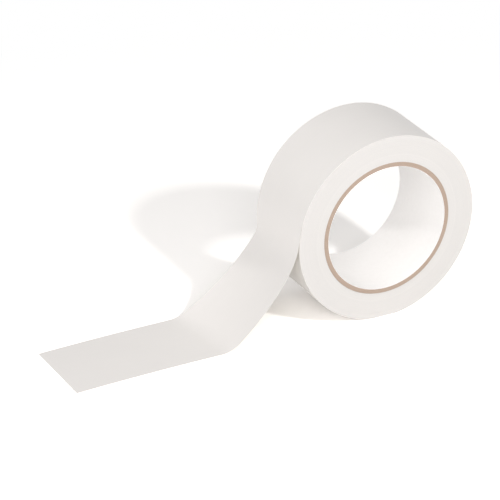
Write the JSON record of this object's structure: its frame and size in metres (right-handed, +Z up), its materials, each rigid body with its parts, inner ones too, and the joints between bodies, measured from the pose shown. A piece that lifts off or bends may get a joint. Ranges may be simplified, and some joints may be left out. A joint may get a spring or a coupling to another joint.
{
  "type": "roll of floor marking tape",
  "caption": "Roll of white floor marking tape on a paper core, with a free tail that leaves the roll, bends down and lies flat on the floor",
  "frame": {"origin": "centre of the core's bore, half way along it", "axes": "+Y along the axis of the roll, away from the face seen in front; +Z up; the tail runs off towards -X"},
  "size_m": [0.2503, 0.05, 0.1131],
  "materials": {
    "liner_paper": "matte",
    "kraft_board": "matte",
    "wound_tape": "matte",
    "vinyl_film": "satin",
    "adhesive": "satin"
  },
  "bodies": {
    "roll": {"core_liner": "liner_paper", "core_ply_1": "kraft_board", "core_ply_2": "kraft_board", "core_ply_3": "kraft_board", "core_ply_4": "kraft_board", "tape_winding": "wound_tape", "outer_turn_adhesive": "adhesive", "outer_turn_film": "vinyl_film"},
    "tail_root": {"tail_root_adhesive": "adhesive", "tail_root_film": "vinyl_film"},
    "tail_span": {"tail_span_adhesive": "adhesive", "tail_span_film": "vinyl_film"},
    "tail_end": {"tail_end_adhesive": "adhesive", "tail_end_film": "vinyl_film"}
  },
  "joints": [
    {"name": "unwind", "type": "hinge", "parent": "roll", "child": "tail_root", "pos_m": [0, 0, 0], "axis": [0, 1, 0], "continuous": true},
    {"name": "lift_flex", "type": "hinge", "parent": "tail_root", "child": "tail_span", "pos_m": [-0.05856, 0, -0.00886], "axis": [0, 1, 0], "range_deg": [-30, 80]},
    {"name": "floor_flex", "type": "hinge", "parent": "tail_span", "child": "tail_end", "pos_m": [-0.10406, 0, -0.05446], "axis": [0, 1, 0], "range_deg": [-35, 75]}
  ]
}
